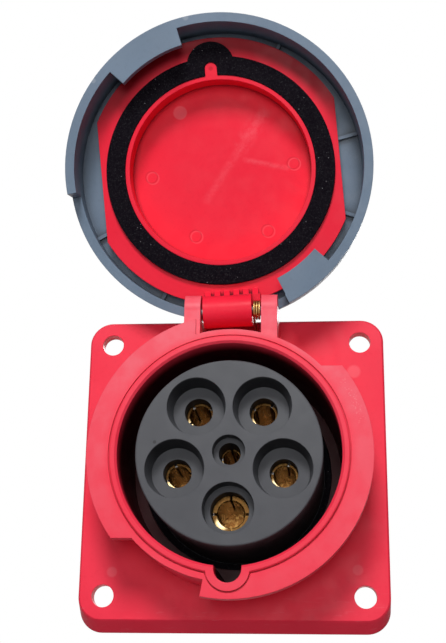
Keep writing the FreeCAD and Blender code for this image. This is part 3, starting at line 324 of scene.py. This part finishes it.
def finish_lid():
    finish, colour = moulded("lid_red", LID_RED, 0.38, 0.10)
    pale, deep = (0.92, 0.13, 0.17), (0.50, 0.005, 0.018)
    # Painted shade in the lid's own corners and slots, such as between the hinge teeth
    colour = painted_corner_shade(finish, colour, 4, (0.10, 0.001, 0.005), 0.9)

    # The shade of the ring on the lid's rim, towards the top of the open lid
    hub = finish.along(on_lid(0, 0, 0), on_lid(0, 0, LID_AXIS_END), 50.5, 0.09)
    rim = finish.math("SUBTRACT", 1.0, hub)
    shaded = finish.times(rim, finish.over(finish.along_axis("Z"), 116, 152, 0.0, 0.78))
    colour = finish.mixed(shaded, colour, (0.14, 0.001, 0.004))

    # Ejector marks in the cup: a pale disc, and four rings, each with a painted highlight on one
    # edge and painted shade on the other.
    # They are balls round points above the cup's floor, so that none reaches its outside.
    disc = finish.near(on_lid(-14.9, -26.8, IN_CUP), 3.5, 0.20)
    colour = finish.mixed(finish.times(disc, 0.75), colour, pale)
    for x, up in ((-29.0, -1.5), (-13.2, 24.4), (16.3, 25.0), (29.3, -1.4)):
        for shift, shade in ((0.5, pale), (0.0, deep)):
            place = on_lid(x + shift, up + shift, IN_CUP)
            outer, inner = finish.near(place, 3.25, 0.12), finish.near(place, 2.85, 0.15)
            edge = finish.math("SUBTRACT", outer, inner)
            colour = finish.mixed(finish.times(edge, 0.38), colour, shade)

    # The dimple in the tongue, drawn as a dark dot of painted shade
    dot = finish.along(on_lid(0, -TONGUE, 31), on_lid(0, -TONGUE, 38), 1.2, 0.5)
    colour = finish.mixed(finish.times(dot, 0.6), colour, deep)

    # Rubbed marks across the cup: a long smear, a fan at its upper end and a short scuff
    broken = finish.spread(finish.noise(2.2, detail=6, roughness=0.7), 0.35, 0.65, 0.3, 1.0)
    cloudy = finish.spread(finish.noise(3.2, detail=6, roughness=0.7), 0.40, 0.62)
    for start, end, width, softness, texture, strength in (
        ((18.6, -22.8, IN_CUP), (-7.2, 10.1, IN_CUP), 3.0, 1.0, broken, 0.5),
        ((18.0, -22.0, IN_CUP - 2.5), (9.0, -10.5, IN_CUP - 2.5), 6.5, 0.7, cloudy, 0.55),
        ((9.9, -4.7, CUP_FLOOR), (26.6, 0.4, CUP_FLOOR), 1.7, 1.0, broken, 0.4),
    ):
        mark = finish.along(on_lid(*start), on_lid(*end), width, softness)
        colour = finish.mixed(finish.times(mark, texture, strength), colour, pale)
    finish.colour(colour)
    finish.put_on("lid_cap")


def finish_ring():
    finish, colour = moulded("ring_grey", RING_GREY, 0.46, 0.4)
    pale, dark = (0.26, 0.30, 0.36), (0.05, 0.06, 0.07)
    # Painted shade in the ring's own corners and slots
    colour = painted_corner_shade(finish, colour, 12, (0.012, 0.016, 0.024), 0.85)

    # Worn spots on the front edge, then dust
    for angle, radius, size, strength, shade in (
        (-173, 60, 1.4, 0.6, pale),
        (-130, 60, 1.2, 0.6, pale),
        (48, 61, 1.4, 0.6, pale),
        (-37, 58, 1.4, 0.5, dark),
    ):
        mark = finish.near(on_ring(angle, radius), size)
        colour = finish.mixed(finish.times(mark, strength), colour, shade)
    thinned = finish.spread(finish.noise(11), 0.5, 0.6)
    dust = finish.times(finish.specks(9, 0.35), thinned, 0.5)
    finish.colour(finish.mixed(dust, colour, pale))
    finish.put_on("locking_ring")


def finish_insulators():
    finish, colour = moulded("insulator_dark", INSULATOR_DARK, 0.50, 0.2)
    # Painted light: the insert is lighter towards the top
    lit = finish.over(finish.along_axis("Z"), -35, 35, 0.0, 0.6)
    colour = finish.mixed(lit, colour, (0.082, 0.084, 0.092))

    # Shade on the walls of the pin holes that face down, from just below the front face
    downward = finish.spread(finish.facing("Z"), -0.75, -0.10, 0.88, 0.0)
    in_holes = finish.over(finish.off_axis(), INSERT - 1.2, INSERT - 0.6, 1.0, 0.0)
    below_face = finish.over(finish.along_axis("Y"), 0.1 - RIM, 1.3 - RIM)
    shaded = finish.times(downward, in_holes, below_face)
    colour = finish.mixed(shaded, colour, (0.004, 0.004, 0.005))

    # One dark speck at the left of the face, and dust
    speck = finish.near(on_wall(-27.75, 3.45, RIM), 0.8)
    colour = finish.mixed(finish.times(speck, 0.8), colour, (0.02, 0.02, 0.022))
    thinned = finish.spread(finish.noise(8), 0.52, 0.6)
    dust = finish.times(finish.specks(5, 0.18), thinned, 0.4)
    finish.colour(finish.mixed(dust, colour, (0.22, 0.22, 0.23)))
    finish.put_on("contact_carrier", "terminal_carrier")


def finish_rubber():
    """Black rubber with a fine grey grain and a little lint."""
    finish = Finish("rubber_black", 0.62, bevel=0.4, gloss=0.02)
    black, soft_black = (0.0035, 0.0022, 0.0045), (0.009, 0.007, 0.010)
    fine = finish.noise(0.9, detail=4, roughness=0.6)
    colour = finish.mixed(finish.spread(fine, 0.4, 0.7), black, soft_black)
    grain = finish.spread(finish.noise(0.6, detail=3, roughness=0.7), 0.55, 0.70)
    colour = finish.mixed(finish.times(grain, 0.45), colour, (0.055, 0.055, 0.060))
    lint = finish.times(finish.specks(2.0, 0.17), finish.spread(finish.noise(6), 0.46, 0.58))
    colour = finish.mixed(lint, colour, (0.35, 0.34, 0.36))
    finish.colour(colour)
    finish.rough(finish.spread(finish.noise(5), 0.3, 0.7, 0.48, 0.66))
    finish.bump(fine, RUBBER_GRAIN)
    finish.put_on("lid_gasket", "flange_gasket", "carrier_seal")


def metal(name, bright, dull, roughness, lines):
    """A worked metal: fine lines from the tool, with duller patches."""
    finish = Finish(name, roughness, metallic=1.0, bevel=0.15)
    patches = finish.noise(2.5, detail=4)
    finish.colour(finish.mixed(finish.spread(patches, 0.45, 0.75), bright, dull))
    finish.rough(finish.spread(patches, 0.3, 0.75, roughness - 0.06, roughness + 0.14))
    grooves = finish.noise(0.25, detail=2, where=finish.stretched(lines))
    finish.bump(grooves, METAL_GRAIN)
    return finish


def finish_brass(name, x, up, out):
    """Brass, dark brown inside the sleeve, with painted shade on its end face and a painted
    highlight low on the left of its mouth.
    """
    finish = Finish("brass_" + name, 0.28, metallic=1.0, bevel=0.15)
    bright, brown = (0.46, 0.27, 0.086), (0.13, 0.056, 0.015)
    streaks = finish.noise(1.4, detail=3, where=finish.stretched(ALONG_CONTACT))

    # Dark brown in front of the wall, darker further in as painted shade, and bare on the clamp
    # behind the wall
    browner_inwards = finish.over(finish.along_axis("Y"), -30, -8, 0.7, 0.97)
    bare = finish.over(finish.along_axis("Y"), 20, 28)
    brown_share = finish.math("SUBTRACT", browner_inwards, bare, clamp=True)
    brown_share = finish.times(brown_share, finish.spread(streaks, 0.48, 0.62, 1.0, 0.45))
    colour = finish.mixed(brown_share, bright, brown)

    # Painted shade on the end face of the sleeve, and a painted highlight low on the left of its
    # mouth
    mouth = finish.over(finish.along_axis("Y"), 0.3 - out, 0.9 - out, 0.8, 0.0)
    colour = finish.mixed(mouth, colour, (0.035, 0.017, 0.005))
    painted_glint = finish.near(on_wall(x - GLINT_SIDE, up - GLINT_SIDE, out), GLINT, 0.8)
    colour = finish.mixed(painted_glint, colour, (0.86, 0.64, 0.32))
    finish.colour(colour)
    finish.rough(finish.spread(streaks, 0.3, 0.75, 0.22, 0.38))
    grooves = finish.noise(0.25, detail=2, where=finish.stretched(ACROSS_CONTACT))
    finish.bump(grooves, METAL_GRAIN)
    finish.put_on(name)


def finish_metals():
    for name, x, up, out in CONTACTS:
        finish_brass(name, x, up, out)
    spring = metal("spring_steel", (0.60, 0.60, 0.61), (0.42, 0.42, 0.43), 0.32, ACROSS_CONTACT)
    spring.put_on(*[name for name in nodes if name.startswith("spring_ring_")])
    zinc = metal("screw_zinc", (0.66, 0.65, 0.60), (0.45, 0.44, 0.40), 0.36, EVEN)
    zinc.put_on("terminal_screws", "pilot_screw", "carrier_screws")
    pin = metal("pin_steel", (0.16, 0.16, 0.17), (0.10, 0.10, 0.11), 0.42, ACROSS_PIN)
    pin.put_on("hinge_pin")
    gold = metal("spring_gold", (0.66, 0.45, 0.18), (0.34, 0.20, 0.07), 0.28, EVEN)
    gold.put_on("torsion_spring")


def lamp(name, place, size, power):
    """A square lamp aimed at the middle of the socket, in metres and watts."""
    light = bpy.data.lights.new(name, "AREA")
    light.shape = "SQUARE"
    light.size = size
    light.energy = power
    target = Vector((0, 0, 0.05))
    holder = bpy.data.objects.new(name, light)
    holder.location = place
    holder.rotation_euler = (target - Vector(place)).to_track_quat("-Z", "Y").to_euler()
    bpy.context.scene.collection.objects.link(holder)


def rays_that_look(tree):
    """One for the rays that show a surface: from the camera, in a reflection or through glass."""
    path = tree.nodes.new("ShaderNodeLightPath")
    seen = path.outputs["Is Camera Ray"]
    for name in ("Is Glossy Ray", "Is Transmission Ray"):
        either = tree.nodes.new("ShaderNodeMath")
        either.operation = "MAXIMUM"
        tree.links.new(seen, either.inputs[0])
        tree.links.new(path.outputs[name], either.inputs[1])
        seen = either.outputs[0]
    return seen


def set_floor():
    """A pale floor far below the socket, duller for the light that it throws back up."""
    half, level = 2.0, -0.2
    bounced = (0.28, 0.28, 0.28)
    glow_when_seen = 0.34
    corners = ((-half, -half), (half, -half), (half, half), (-half, half))
    mesh = bpy.data.meshes.new("floor")
    mesh.from_pydata([(x, y, level) for x, y in corners], [], [(0, 1, 2, 3)])
    floor = bpy.data.objects.new("floor", mesh)
    bpy.context.scene.collection.objects.link(floor)
    paint = Finish("floor_pale", 0.9, bevel=0)
    pale = paint.mixed(paint.noise(300), (0.80, 0.80, 0.80), (0.84, 0.84, 0.84))
    looks = rays_that_look(paint.tree)
    paint.colour(paint.mixed(looks, bounced, pale))
    paint.shader.inputs["Emission Color"].default_value = (*WHITE, 1.0)
    paint.wire(paint.times(looks, glow_when_seen), paint.shader.inputs["Emission Strength"])
    mesh.materials.append(paint.material)


def set_world():
    """White where it is seen, and only a faint light on the socket."""
    lit, seen = 0.04, 1.0
    world = bpy.data.worlds.new("studio")
    bpy.context.scene.world = world
    world.use_nodes = True
    tree = world.node_tree
    ambient = tree.nodes["Background"]
    shown = tree.nodes.new("ShaderNodeBackground")
    for background, strength in ((ambient, lit), (shown, seen)):
        background.inputs["Color"].default_value = (*WHITE, 1.0)
        background.inputs["Strength"].default_value = strength
    blend = tree.nodes.new("ShaderNodeMixShader")
    tree.links.new(rays_that_look(tree), blend.inputs[0])
    tree.links.new(ambient.outputs[0], blend.inputs[1])
    tree.links.new(shown.outputs[0], blend.inputs[2])
    tree.links.new(blend.outputs[0], tree.nodes["World Output"].inputs["Surface"])


def set_lamps():
    lamp("key", (-0.05, -1.10, 0.74), 0.38, 12.6)
    lamp("low_fill", (0.05, -1.10, 0.0), 0.38, 2.8)
    lamp("back", (0.25, 1.10, 0.65), 0.5, 6)


def set_camera():
    """The camera that took the photo, solved from the plate, the insert and the ring."""
    data = bpy.data.cameras.new("camera")
    data.sensor_width = 36
    data.lens = 68.36
    data.shift_x = 0.0013
    data.shift_y = -0.0229
    data.clip_start = 0.01
    camera = bpy.data.objects.new("camera", data)
    camera.location = (0.03674, -0.4768, -0.09623)
    camera.rotation_euler = [math.radians(angle) for angle in (108.928, -0.761, 4.878)]
    bpy.context.scene.collection.objects.link(camera)
    bpy.context.scene.camera = camera


finish_housing()
finish_lid()
finish_ring()
finish_insulators()
finish_rubber()
finish_metals()
set_floor()
set_world()
set_lamps()
set_camera()
bpy.context.scene.view_settings.view_transform = "Standard"
